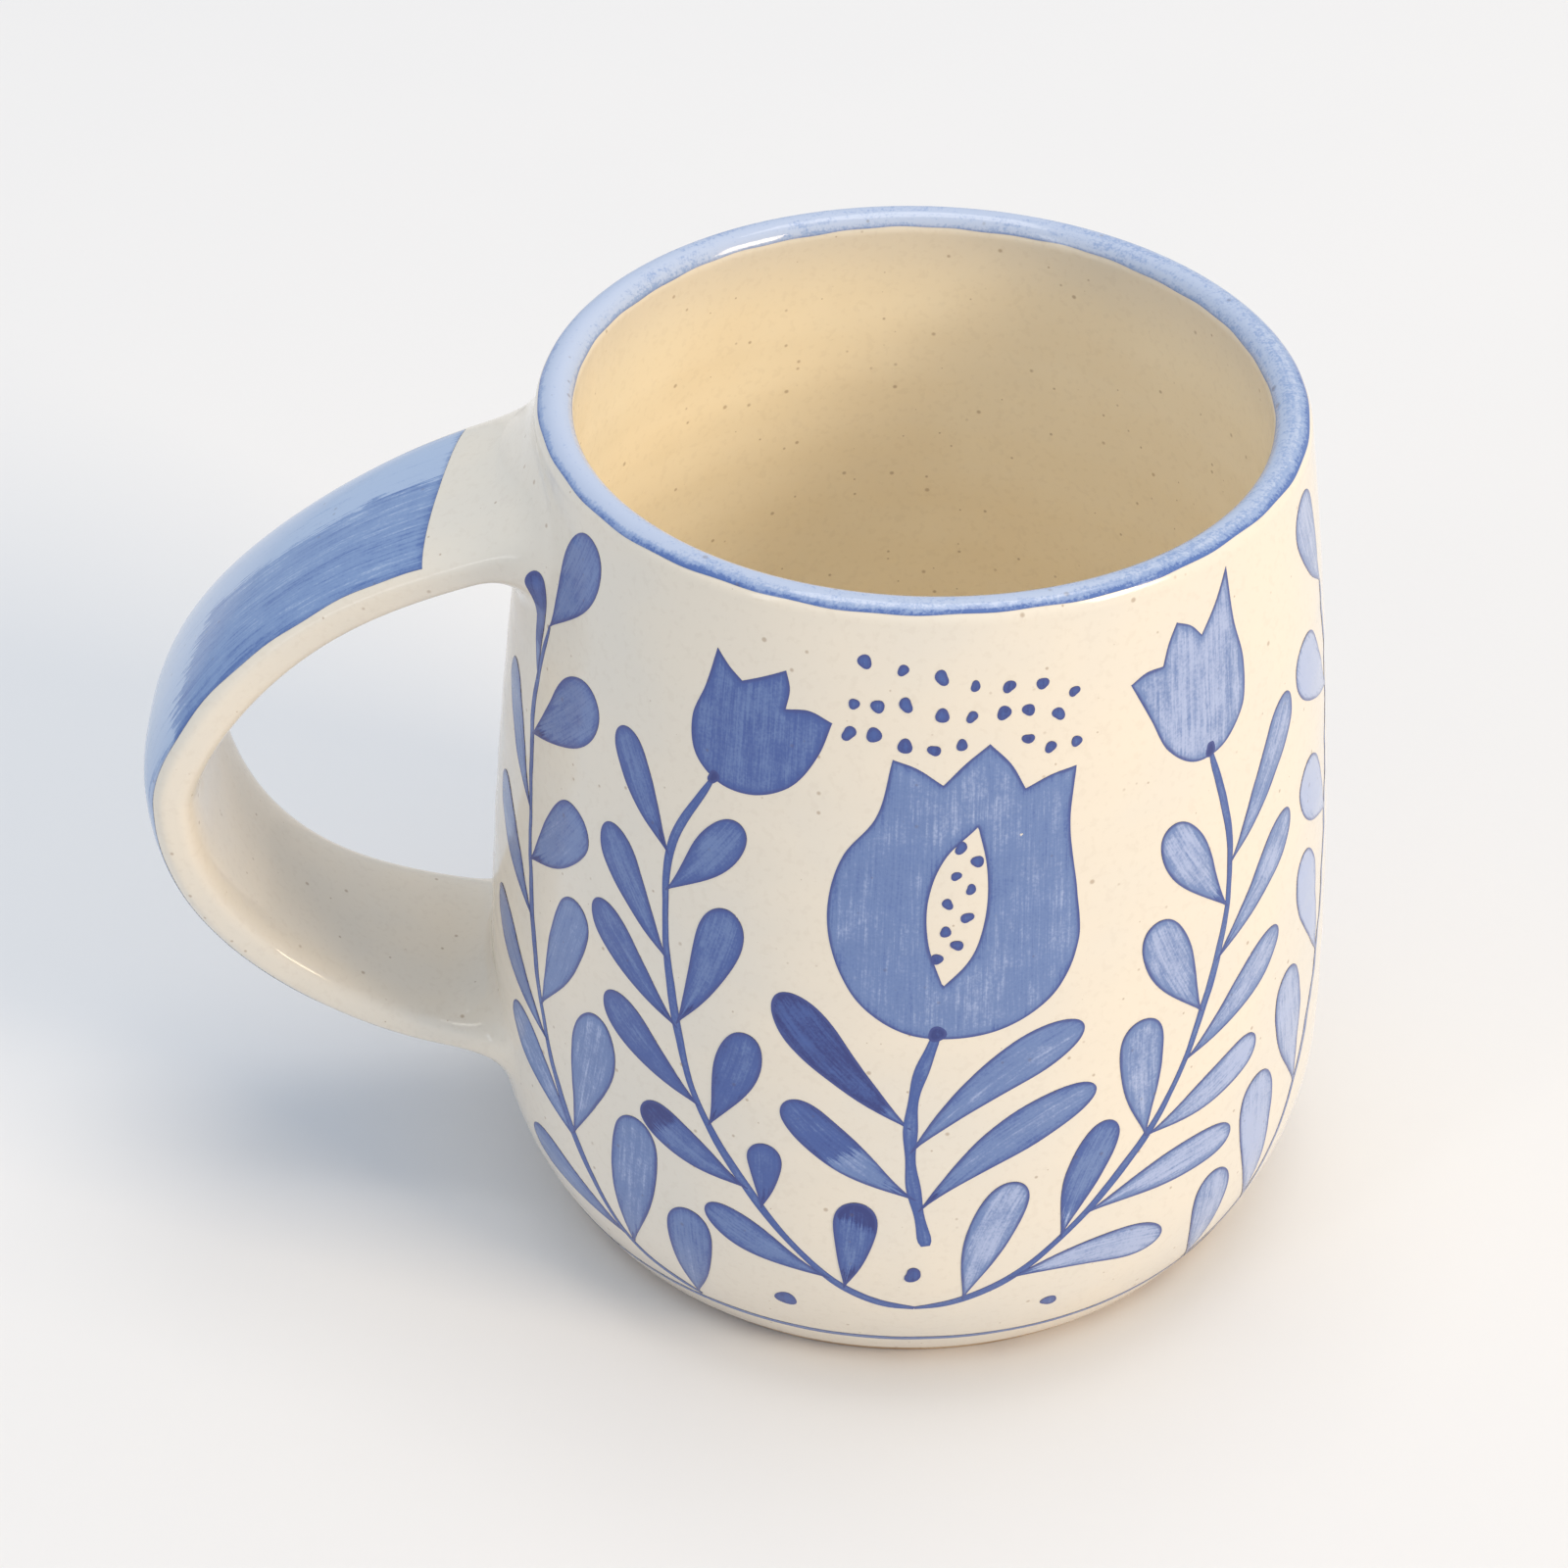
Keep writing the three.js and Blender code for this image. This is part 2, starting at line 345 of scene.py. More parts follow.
# ---- meshes ----------------------------------------------------------------------------------
def grid_faces(rows, columns, close_rows=False, close_columns=False):
    """Quads of a grid of points, row by row."""
    index = np.arange(rows * columns).reshape(rows, columns)
    if close_rows:
        index = np.vstack([index, index[:1]])
    if close_columns:
        index = np.hstack([index, index[:, :1]])
    corners = [index[:-1, :-1], index[:-1, 1:], index[1:, 1:], index[1:, :-1]]
    return np.stack([corner.ravel() for corner in corners], 1).tolist()


def cap_ends(faces, sides, rings, first, last):
    """Closes the two ends of a stack of rings with fans of triangles about two middle points."""
    last_ring = (rings - 1) * sides
    for side in range(sides):
        after = (side + 1) % sides
        faces.append([first, after, side])
        faces.append([last, last_ring + side, last_ring + after])


def add_object(name, data):
    """Puts a mesh, a light or a camera in the scene."""
    added = bpy.data.objects.new(name, data)
    bpy.context.scene.collection.objects.link(added)
    return added


def make_piece(name, points, faces, looks, replaces=(), normals=None, attributes=None):
    """A smooth mesh from points in millimetres, riding on the mug's one body."""
    mesh = bpy.data.meshes.new(name)
    mesh.from_pydata((np.asarray(points) * MM).tolist(), [], faces)
    for key, values in (attributes or {}).items():
        flat = np.asarray(values, np.float32)
        if flat.ndim == 2:
            mesh.attributes.new(key, "FLOAT_VECTOR", "POINT").data.foreach_set("vector", flat.ravel())
        else:
            mesh.attributes.new(key, "FLOAT", "POINT").data.foreach_set("value", flat)
    mesh.update()
    mesh.shade_smooth()
    if normals is not None:
        mesh.normals_split_custom_set_from_vertices(np.asarray(normals).tolist())
    for look in looks:
        mesh.materials.append(look)
    piece = add_object(name, mesh)
    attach(piece, "root")
    if replaces:
        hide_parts(*replaces)
    return piece


# ---- materials -------------------------------------------------------------------------------
def colour(red, green, blue):
    """A linear colour from its usual 0 to 255 values."""
    def linear(value):
        share = value / 255
        return share / 12.92 if share <= 0.04045 else ((share + 0.055) / 1.055) ** 2.4
    return (linear(red), linear(green), linear(blue), 1.0)


class Look:
    """A material being written. Most methods add nodes and give back what these put out."""

    def __init__(self, name, specular=0.5):
        self.material = bpy.data.materials.new(name)
        self.material.use_nodes = True
        self.nodes = self.material.node_tree.nodes
        self.links = self.material.node_tree.links
        self.shader = self.nodes["Principled BSDF"]
        self.shader.inputs["Specular IOR Level"].default_value = specular

    def feed(self, socket, value):
        if isinstance(value, bpy.types.NodeSocket):
            self.links.new(value, socket)
        else:
            socket.default_value = value

    def add(self, kind, settings=None, **inputs):
        node = self.nodes.new("ShaderNode" + kind)
        for key, value in (settings or {}).items():
            setattr(node, key, value)
        for key, value in inputs.items():
            self.feed(node.inputs[key.replace("_", " ")], value)
        return node

    def place(self):
        """Millimetres in the mug's own frame, the same for every piece."""
        position = self.add("TexCoord").outputs["Object"]
        scaled = self.add("VectorMath", {"operation": "SCALE"})
        self.feed(scaled.inputs[0], position)
        self.feed(scaled.inputs["Scale"], 1 / MM)
        return scaled.outputs[0]

    def attribute(self, name, output="Fac"):
        return self.add("Attribute", {"attribute_name": name}).outputs[output]

    def stretch(self, vector, x, y, z):
        node = self.add("VectorMath", {"operation": "MULTIPLY"})
        self.feed(node.inputs[0], vector)
        self.feed(node.inputs[1], (x, y, z))
        return node.outputs[0]

    def noise(self, vector, size, detail=2.0, roughness=0.5):
        """Soft noise around 0.5 whose lumps are about this size."""
        node = self.add("TexNoise", Vector=vector, Scale=1 / size, Detail=detail, Roughness=roughness)
        return node.outputs["Fac"]

    def math(self, operation, a, b=0.0):
        node = self.add("Math", {"operation": operation})
        self.feed(node.inputs[0], a)
        self.feed(node.inputs[1], b)
        return node.outputs[0]

    def vary(self, value, texture, amount):
        """A value with a noise added to it, up or down by as much as half the amount."""
        return self.math("ADD", value, self.math("MULTIPLY", self.math("SUBTRACT", texture, 0.5), amount))

    def ramp(self, value, low, high, to_low=0.0, to_high=1.0):
        """A smooth step from one value to another."""
        node = self.add("MapRange", {"interpolation_type": "SMOOTHSTEP"}, Value=value)
        for key, number in (("From Min", low), ("From Max", high), ("To Min", to_low), ("To Max", to_high)):
            self.feed(node.inputs[key], number)
        return node.outputs["Result"]

    def mix(self, share, a, b):
        node = self.add("Mix", {"data_type": "RGBA", "clamp_factor": True})
        self.feed(node.inputs[0], share)
        self.feed(node.inputs[6], a)
        self.feed(node.inputs[7], b)
        return node.outputs[2]

    def specks(self, place, spacing, biggest):
        """Round specks, most of them far smaller than the biggest."""
        cells = self.add("TexVoronoi", Vector=place, Scale=1 / spacing)
        chance = self.add("SeparateColor", Color=cells.outputs["Color"]).outputs["Red"]
        size = self.math("MULTIPLY", self.math("POWER", chance, 5.0), biggest / spacing)
        return self.ramp(cells.outputs["Distance"], size, self.math("MULTIPLY", size, 0.35))

    def speckle(self, base, place, spacing, biggest, share, tint):
        """A base colour with specks of another, which cover it by this share."""
        return self.mix(self.math("MULTIPLY", self.specks(place, spacing, biggest), share), base, tint)

    def finish(self, base, roughness, height, depth):
        """Base colour, roughness and a bump whose height is in millimetres."""
        self.feed(self.shader.inputs["Base Color"], base)
        self.feed(self.shader.inputs["Roughness"], roughness)
        bump = self.add("Bump", Height=height, Distance=depth * MM, Strength=1.0)
        self.feed(self.shader.inputs["Normal"], bump.outputs["Normal"])
        return self.material


CREAM = colour(234, 223, 206)
CREAM_COOL = colour(228, 220, 207)
# the inside creams are lighter and yellower: partly the glaze's own tint, partly painted warm bounce light
# from inside the cup
BOUNCE_LIT_CREAM_INSIDE = colour(255, 243, 218)
BOUNCE_LIT_CREAM_INSIDE_DEEP = colour(252, 238, 211)
IRON = colour(150, 118, 84)
IRON_DARK = colour(92, 72, 62)
CLAY = colour(198, 170, 138)
CLAY_DARK = colour(164, 132, 100)


GLAZE_BUMP = 0.10


def glazed(look, place, base):
    """Finishes a look with the surface of the glossy glaze, the same over clay and over paint."""
    orange_peel = look.noise(place, 1.6, 2.0)
    wave = look.noise(place, 9.0, 1.0)
    height = look.math("ADD", look.math("MULTIPLY", orange_peel, 0.12), wave)
    roughness = look.ramp(look.noise(place, 5.0, 3.0), 0.3, 0.75, 0.07, 0.17)
    return look.finish(base, roughness, height, GLAZE_BUMP)


def cream_glaze():
    """Warm off-white glaze over speckled stoneware, lighter and yellower inside the cup: partly the glaze's
    own warmer tint and partly painted warm light bounced round inside it.
    """
    look = Look("cream_glaze")
    place = look.place()
    clouds = look.ramp(look.noise(place, 22.0, 3.0), 0.35, 0.68)
    outside = look.mix(clouds, CREAM, CREAM_COOL)
    # inside the cup the cream carries painted warm bounce light
    inside = look.mix(clouds, BOUNCE_LIT_CREAM_INSIDE, BOUNCE_LIT_CREAM_INSIDE_DEEP)
    base = look.mix(look.attribute("inside"), outside, inside)
    freckles = look.math("MULTIPLY", look.noise(place, 0.8, 2.0), 0.9)
    base = look.mix(look.ramp(freckles, 0.47, 0.62, 0.0, 0.05), base, IRON)
    base = look.speckle(base, place, 1.3, 0.36, 0.5, IRON)
    base = look.speckle(base, place, 6.0, 0.32, 0.7, IRON_DARK)
    return glazed(look, place, base)


def bare_clay():
    """Matt unglazed stoneware with grains and darker grog."""
    look = Look("bare_clay", specular=0.25)
    place = look.place()
    patches = look.ramp(look.noise(place, 7.0, 4.0), 0.35, 0.7)
    base = look.mix(patches, CLAY, CLAY_DARK)
    grains = look.noise(place, 0.35, 3.0)
    base = look.mix(look.ramp(grains, 0.5, 0.7, 0.0, 0.5), base, CLAY_DARK)
    base = look.mix(look.specks(place, 1.8, 0.6), base, IRON_DARK)
    roughness = look.ramp(grains, 0.3, 0.7, 0.7, 0.92)
    return look.finish(base, roughness, look.math("ADD", grains, look.noise(place, 1.2, 2.0)), 0.12)


WASH_PALE = colour(170, 183, 218)
WASH_MIDDLE = colour(108, 131, 180)
WASH_DEEP = colour(70, 94, 158)
WASH_DARK = colour(48, 60, 124)
OUTLINE = colour(66, 78, 140)
CREST = colour(184, 196, 220)
BAND = colour(146, 166, 204)
BAND_DEEP = colour(88, 115, 174)
STRIPE_PALE = colour(172, 190, 218)
STRIPE_MIDDLE = colour(126, 151, 194)
STRIPE_DEEP = colour(90, 117, 172)


def painted_wash(name, colours, streaking, load_depth, outline_share):
    """Cobalt brush strokes under the glaze: streaked along the stroke, dark where colour pools."""
    look = Look(name)
    place = look.place()
    grain = look.attribute("grain", "Vector")
    streaks = look.noise(look.stretch(grain, 0.10, 1.1, 1.0), 1.0, 3.0, 0.6)
    fine_streaks = look.noise(look.stretch(grain, 0.16, 3.6, 1.0), 1.0, 3.0, 0.65)
    mottle = look.noise(place, 2.4, 4.0, 0.65)
    grains = look.noise(place, 0.3, 2.0, 0.6)
    patches = look.noise(place, 7.0, 2.0)

    load = look.vary(look.attribute("load"), mottle, 1.6)
    load = look.vary(load, fine_streaks, 4.5)
    edge = look.attribute("edge")
    pooled = look.math("MULTIPLY", look.ramp(edge, 1.2, 0.1), 0.3)
    depth = look.math("ADD", look.attribute("tone"), pooled)
    depth = look.math("ADD", depth, look.ramp(load, -0.5, 0.6, 0.0, load_depth))
    for texture, amount in (
        (streaks, streaking * 0.7), (fine_streaks, streaking), (mottle, 0.6), (grains, 0.45), (patches, 0.4),
    ):
        depth = look.vary(depth, texture, amount)
    pale, middle, deep, dark = colours
    base = look.mix(look.ramp(depth, -0.1, 0.5), pale, middle)
    base = look.mix(look.ramp(depth, 0.5, 1.1), base, deep)
    base = look.mix(look.ramp(depth, 1.1, 1.7), base, dark)
    base = look.mix(look.ramp(look.vary(edge, mottle, 0.5), 0.42, 0.08, 0.0, outline_share), base, OUTLINE)
    return glazed(look, place, look.speckle(base, place, 1.3, 0.36, 0.3, IRON_DARK))


def painted_band():
    """The brushed band on the lip: pale where the glaze breaks over the crest, dark at its edges."""
    look = Look("cobalt_rim_band")
    place = look.place()
    grain = look.attribute("grain", "Vector")
    streaks = look.noise(look.stretch(grain, 0.05, 1.6, 1.0), 1.0, 3.0, 0.6)
    loads = look.noise(look.stretch(grain, 0.045, 0.2, 1.0), 1.0, 2.0)
    mottle = look.noise(place, 0.9, 4.0, 0.7)
    grains = look.noise(place, 0.28, 2.0, 0.6)
    edge = look.attribute("edge")
    pooled = look.ramp(look.attribute("load"), 1.3, 0.1, 0.0, 0.8)
    depth = look.math("ADD", pooled, look.ramp(edge, 0.8, 0.1, 0.0, 0.35))
    for texture, amount in ((streaks, 1.0), (loads, 2.0), (mottle, 1.5), (grains, 1.3)):
        depth = look.vary(depth, texture, amount)
    base = look.mix(look.ramp(depth, -0.1, 0.55), CREST, BAND)
    base = look.mix(look.ramp(depth, 0.55, 1.2), base, BAND_DEEP)
    base = look.mix(look.ramp(look.vary(edge, mottle, 0.8), 0.3, 0.0, 0.0, 0.4), base, WASH_DEEP)
    return glazed(look, place, look.speckle(base, place, 1.5, 0.5, 0.35, IRON_DARK))


# ---- clay pieces -----------------------------------------------------------------------------
CUP_SIDES = 240


CUP_RINGS = (  # where each stretch of the profile ends, and how many rings it has
    (6, 20),
    (RIM_EQUATOR - 1, 119),
    (LIP_END + 1, 27),
    (SKIN.length - 26, 109),
    (SKIN.length - 1, 13),
)
FOOT_RINGS = 46
GROOVE_PITCH = 2.6  # the turning marks under the foot
GROOVE_DEPTH = 0.1


def cup_rows():
    """Distances along the profile for the cup's rings, closest together at the foot and over the lip."""
    rows = [np.zeros(1)]
    for end, rings in CUP_RINGS:
        rows.append(np.linspace(rows[-1][-1], end, rings + 1)[1:])
    return np.concatenate(rows)


def make_cup(glaze, clay):
    """The thrown cup, closed: out over the foot, up the wall, over the lip and in over the floor."""
    around = angles_round(CUP_SIDES)
    rows = cup_rows()
    angle, even = np.meshgrid(around, rows)
    # the glaze's edge wanders: the rings by it bend, but each keeps the swell of an even ring
    wander = waves(around, (0.2, 3, 1), (0.1, 7, 0), (0.07, 17, 2))
    near_edge = np.clip(1 - np.abs(rows - GLAZE_EDGE) / GLAZE_EDGE, 0, 1)
    along = even + near_edge[:, None] * wander
    skin = cup_skin(angle, along, hand_thrown(angle, even) - hand_thrown(angle, along))

    radii = np.linspace(1.0, FOOT_RADIUS - GLAZE_THICKNESS, FOOT_RINGS)[:, None]
    grooves = GROOVE_DEPTH / 2 * (1 - np.cos(TURN * radii / GROOVE_PITCH)) * (radii < FOOT_RADIUS - 3)
    foot = round_the_axis(around, radii, grooves)
    rings = np.concatenate([foot, skin])
    points = rings.reshape(-1, 3)
    faces = grid_faces(len(rings), CUP_SIDES, close_columns=True)
    bottom, top = len(points), len(points) + 1
    points = np.vstack([points, (0, 0, 0), (0, 0, FLOOR_THICKNESS)])
    cap_ends(faces, CUP_SIDES, len(rings), bottom, top)
    # a mask of where the inside cream, with its painted bounce light, goes
    inside = np.concatenate([
        np.zeros(len(foot) * CUP_SIDES),
        np.repeat(smooth_step(rows, RIM_EQUATOR + 2, LIP_END + 9), CUP_SIDES),
        [0.0, 1.0],
    ])
    cup = make_piece("cup_body_glazed", points, faces, [glaze, clay],
                     replaces=["cup_body"], attributes={"inside": inside})
    clay_rings = len(foot) + int(np.searchsorted(rows, GLAZE_EDGE))
    for polygon in cup.data.polygons:
        if max(polygon.vertices) < clay_rings * CUP_SIDES or bottom in polygon.vertices:
            polygon.material_index = 1


SECTION_SIDES = 96


def make_strap(glaze):
    """The pulled strap, a closed loft that runs a little way into the wall at both ends."""
    into_wall = 2.0
    along = np.linspace(-into_wall, STRAP.length + into_wall, 220)
    # under the slip the strap is a little thinner, so that only the slip shows there
    tuck = 0.12 * (1 - smooth_step(along, SLIP_REACH - 1.2, SLIP_REACH - 0.2))
    tuck += 0.12 * smooth_step(along, STRAP.length - SLIP_REACH + 0.2, STRAP.length - SLIP_REACH + 1.2)
    angle = angles_round(SECTION_SIDES)
    across, out = strap_section(along[:, None], angle[None, :], -tuck[:, None])
    rings = strap_point(along[:, None] + 0 * across, across, out)
    points = rings.reshape(-1, 3)
    faces = grid_faces(len(along), SECTION_SIDES, close_columns=True)
    first, last = len(points), len(points) + 1
    points = np.vstack([points, rings[0].mean(0), rings[-1].mean(0)])
    cap_ends(faces, SECTION_SIDES, len(along), first, last)
    make_piece("strap_handle_glazed", points, faces, [glaze], replaces=["strap_handle"])


def beside_handle(across, height):
    """Angle round the cup and distance along its profile of a place on the wall by the handle."""
    along = along_at_height(height)
    radius, _ = OUTSIDE.place(along)
    return -TURN / 4 - np.arcsin(across / radius), along


def make_slip_joint(node, at_top, spread_out, spread_side, spread_in, glaze):
    """The slip that blends one end of the strap into the wall, as a closed ring of clay."""
    angle = angles_round(SECTION_SIDES)
    upwards = 1 if at_top else -1
    joint_height = UPPER_JOINT_HEIGHT if at_top else LOWER_JOINT_HEIGHT
    start = SLIP_REACH if at_top else STRAP.length - SLIP_REACH
    towards_wall = -1 if at_top else 1

    def strap_ring(distance, grow):
        along = start + towards_wall * distance
        across, out = strap_section(along, angle, grow)
        return strap_point(along + 0 * across, across, out)

    def wall_ring(extra, lift):
        half_width, half_thickness = strap_sizes(0.0)
        spread = np.where(np.sin(angle) > 0, spread_out, spread_in) + extra
        wide = (half_width + spread_side + extra) * squared_off(np.cos(angle), SLIP_SQUARENESS)
        tall = (half_thickness + spread) * squared_off(np.sin(angle), SLIP_SQUARENESS)
        height = np.minimum(joint_height + upwards * tall, LIP_HEIGHT + 0.6)
        around, along = beside_handle(wide, np.minimum(height, LIP_HEIGHT - 0.2))
        return cup_skin(around, along, lift)

    short_step = 0.6  # far enough to show which way each surface runs
    strap_edge = strap_ring(0, 0.0)
    onward = unit(strap_ring(short_step, 0.0) - strap_edge)
    wall_edge = wall_ring(0.0, 0.0)
    inward = wall_ring(-short_step, 0.0) - wall_edge
    inward /= np.linalg.norm(inward, axis=1)[:, None] + 1e-9
    gap = np.linalg.norm(wall_edge - strap_edge, axis=1)[:, None]
    controls = (
        strap_edge,
        strap_edge + onward * gap * SLIP_PULL,
        wall_edge + inward * gap * SLIP_PULL,
        wall_edge,
    )
    fillet = []
    for share in np.arange(SLIP_STEPS + 1) / SLIP_STEPS:
        weights = ((1 - share) ** 3, 3 * share * (1 - share) ** 2, 3 * share ** 2 * (1 - share), share ** 3)
        fillet.append(sum(control * weight for control, weight in zip(controls, weights)))
    # the first rings run inside the strap, the last ones inside the wall
    rings = [strap_ring(1.0, -1.0), strap_ring(-1.2, -0.5), strap_ring(-0.8, -0.04)]
    rings += fillet
    rings += [wall_ring(0.5, -0.05), wall_ring(0.6, -0.6), wall_ring(-2.0, -0.8)]
    if not at_top:
        rings = rings[::-1]
    rings = np.stack(rings)[::-1]
    faces = grid_faces(len(rings), SECTION_SIDES, close_rows=True, close_columns=True)
    slip_surfaces.append(BVHTree.FromPolygons(rings.reshape(-1, 3).tolist(), faces))
    make_piece(node + "_glazed", rings.reshape(-1, 3), faces, [glaze], replaces=[node])


# ---- strokes of paint ------------------------------------------------------------------------
rng = np.random.default_rng(SEED)


def smooth_line(points, spacing=0.5):
    """Evenly spaced points on a smooth curve through a few given ones."""
    given = np.asarray(points, float)
    if len(given) > 2:
        knots = lengths_along(given)
        slopes = np.gradient(given, knots, axis=0)
        fine = []
        for start in range(len(given) - 1):
            span = knots[start + 1] - knots[start]
            reach = slopes[start:start + 2] * span / 3
            controls = (given[start], given[start] + reach[0], given[start + 1] - reach[1], given[start + 1])
            fine.append(bezier(controls, np.linspace(0, 1, 24)))
        given = np.vstack(fine)
    distance = lengths_along(given)
    count = max(2, round(distance[-1] / spacing) + 1)
    even = np.linspace(0, distance[-1], count)
    return np.stack([np.interp(even, distance, axis) for axis in given.T], 1)


def edge_distances(points, loops):
    """Distance of each point from the nearest of these closed outlines."""
    nearest = np.full(len(points), 1e9)
    for loop in loops:
        after = np.roll(loop, -1, axis=0)
        side = after - loop
        size = (side ** 2).sum(1) + 1e-12
        offset = points[:, None] - loop[None]
        share = np.clip((offset * side).sum(2) / size, 0, 1)
        gap = np.linalg.norm(offset - share[..., None] * side, axis=2)
        nearest = np.minimum(nearest, gap.min(1))
    return nearest


class Film:
    """Strokes of paint on one surface, gathered into one piece."""

    def __init__(self, surface, unit_across=1.0):
        self.surface = surface
        self.unit_across = unit_across  # millimetres to one of the sheet's units across
        self.parts = []  # places on the flat sheet, with the lift, edge, grain, tone and load of each
        self.faces = []
        self.strokes = 0
        self.count = 0

    def add(self, sheet, faces, borders, edge, grain, tone, load):
        """One stroke: its points on the sheet, its faces and the outlines where it ends."""
        sheet = np.asarray(sheet, float)
        corners = sheet[np.asarray([face[:3] for face in faces])]
        first, second = corners[:, 1] - corners[:, 0], corners[:, 2] - corners[:, 0]
        if np.sign(first[:, 0] * second[:, 1] - first[:, 1] * second[:, 0]).sum() < 0:
            faces = [face[::-1] for face in faces]
        lift = np.full(len(sheet), PAINT_LIFT + PAINT_STEP * (self.strokes % 12))
        self.faces += [[corner + self.count for corner in face] for face in faces]
        seed = 37.0 * rng.random()
        grain = np.column_stack([grain, np.full(len(sheet), seed)])
        tone = np.full(len(sheet), tone)
        self.parts.append((sheet, lift, edge, grain, tone, load))
        total = len(sheet)
        for border in borders:
            border = np.asarray(border)
            low = np.arange(total, total + len(border))
            total += len(border)
            after, low_after = np.roll(border, -1), np.roll(low, -1)
            skirt = np.stack([border, low, low_after, after], 1) + self.count
            self.faces += skirt.tolist()
            sunk = np.full(len(border), -PAINT_SKIRT)
            self.parts.append((sheet[border], sunk, edge[border], grain[border], tone[border], load[border]))
        self.count += total
        self.strokes += 1

    def piece(self, name, look):
        """The strokes so far as one mesh, just proud of the surface and with its normals."""
        sheet, lift, edge, grain, tone, load = (np.concatenate(column) for column in zip(*self.parts))
        across, along = sheet.T
        step = 0.15
        ahead = self.surface(across, along + step) - self.surface(across, along - step)
        step_across = step / self.unit_across
        aside = self.surface(across + step_across, along) - self.surface(across - step_across, along)
        normals = unit(np.cross(aside, ahead))
        points = self.surface(across, along) + normals * lift[:, None]
        attributes = {"edge": edge, "grain": grain, "tone": tone, "load": load}
        make_piece(name, points, self.faces, [look], normals=normals, attributes=attributes)


def is_clockwise(loop):
    after = np.roll(loop, -1, axis=0)
    return (loop[:, 0] * after[:, 1] - loop[:, 1] * after[:, 0]).sum() < 0


def rim_of_grid(rows, columns):
    """The border of a grid of points, once round."""
    index = np.arange(rows * columns).reshape(rows, columns)
    return np.concatenate([index[0, :-1], index[:-1, -1], index[-1, :0:-1], index[:0:-1, 0]])


ACROSS_STROKE = np.array([-1, -0.93, -0.82, -0.62, -0.32, 0, 0.32, 0.62, 0.82, 0.93, 1])
THIN = 0.06  # half width left at a stroke's pointed ends
NO_LOAD = -20.0
STEM_TONE = 0.75
STEM_INSET = 0.18  # thins the dark outline that would fill a narrow stem


def stroke_grid(film, spine, half_widths, tone, load, outline_inset=0.0):
    """A stroke along a line of points with a half width at each, and the darker load it carries."""
    slope = unit(np.gradient(spine, axis=0))
    side = np.stack([slope[:, 1], -slope[:, 0]], 1)
    half_widths = np.maximum(half_widths, THIN)
    sheet = spine[:, None] + side[:, None] * (half_widths[:, None] * ACROSS_STROKE)[..., None]
    rows, columns = sheet.shape[:2]
    points = sheet.reshape(-1, 2)
    border = rim_of_grid(rows, columns)
    if is_clockwise(points[border]):
        border = border[::-1]
    distance = np.repeat(lengths_along(spine), columns)
    across = (half_widths[:, None] * ACROSS_STROKE).ravel()
    film.add(
        points, grid_faces(rows, columns), [border], edge_distances(points, [points[border]]) + outline_inset,
        np.column_stack([distance, across]), tone, np.repeat(load, columns) + 0.35 * across,
    )


def draw_stem(film, points, width):
    spine = smooth_line(points, 0.6)
    share = np.linspace(0, 1, len(spine))
    taper = np.minimum(1, np.minimum(share, 1 - share) * 14 + 0.6)
    uneven = 1 + 0.18 * np.sin(share * 23 + rng.random() * TURN)
    stroke_grid(film, spine, width / 2 * taper * uneven, STEM_TONE, np.full(len(spine), NO_LOAD), STEM_INSET)


def draw_leaf(film, base, reach, width, arch, tone, loaded):
    """A brush-pressed leaf: a pointed start, widest past the middle and a round end."""
    base, reach = np.asarray(base, float), np.asarray(reach, float)
    length = np.linalg.norm(reach)
    across = np.array([reach[1], -reach[0]]) / length
    steps = np.linspace(0, 1, 30)
    share = 1 - (1 - steps) ** 1.8
    bow = across * arch * width
    spine = bezier([base, base + reach * 0.33 + bow, base + reach * 0.7 + bow, base + reach], share)
    pointed, blunt = 1.25, 0.5
    widest = pointed / (pointed + blunt)
    profile = share ** pointed * (1 - share) ** blunt / (widest ** pointed * (1 - widest) ** blunt)
    profile = profile * (1 + 0.05 * np.sin(share * 8 + TURN * rng.random()))
    load = (share - loaded) * length if loaded else np.full(len(share), NO_LOAD)
    load = np.maximum(load, (rng.random() * 2.6 - share * length) * 0.6)
    stroke_grid(film, spine, width / 2 * profile, tone, load)


def draw_blob(film, outline, centre, tone, window=None, shares=(0, 0.03, 0.08, 0.16, 0.3, 0.5, 0.75)):
    """A filled shape seen whole from its centre, with a window in it where one is given."""
    centre = np.asarray(centre, float)
    count = len(outline)
    targets = np.tile(centre, (count, 1))
    if window is not None:
        angles = np.arctan2(*(window - centre).T[::-1])
        order = np.argsort(angles)
        reach = np.linalg.norm(window - centre, axis=1)[order]
        toward = np.arctan2(*(outline - centre).T[::-1])
        size = np.interp(toward, angles[order], reach, period=TURN)
        targets = centre + size[:, None] * np.stack([np.cos(toward), np.sin(toward)], 1)
        shares = (*shares, 0.92, 0.97, 1.0)
    rings = [lerp(outline, targets, share) for share in shares]
    points = np.vstack(rings)
    faces = grid_faces(len(rings), count, close_columns=True)
    clockwise = is_clockwise(outline)
    outer = np.arange(count)
    inner = np.arange(count) + (len(rings) - 1) * count
    borders = [outer[::-1] if clockwise else outer]
    loops = [outline]
    if window is None:
        middle = len(points)
        points = np.vstack([points, centre])
        faces += [[inner[side], inner[(side + 1) % count], middle] for side in range(count)]
    else:
        borders.append(inner if clockwise else inner[::-1])
        loops.append(targets)
    edge = edge_distances(points, loops)
    grain = points[:, ::-1]
    film.add(points, faces, borders, edge, grain, tone, np.full(len(points), NO_LOAD))


DOT_SIDES = 20


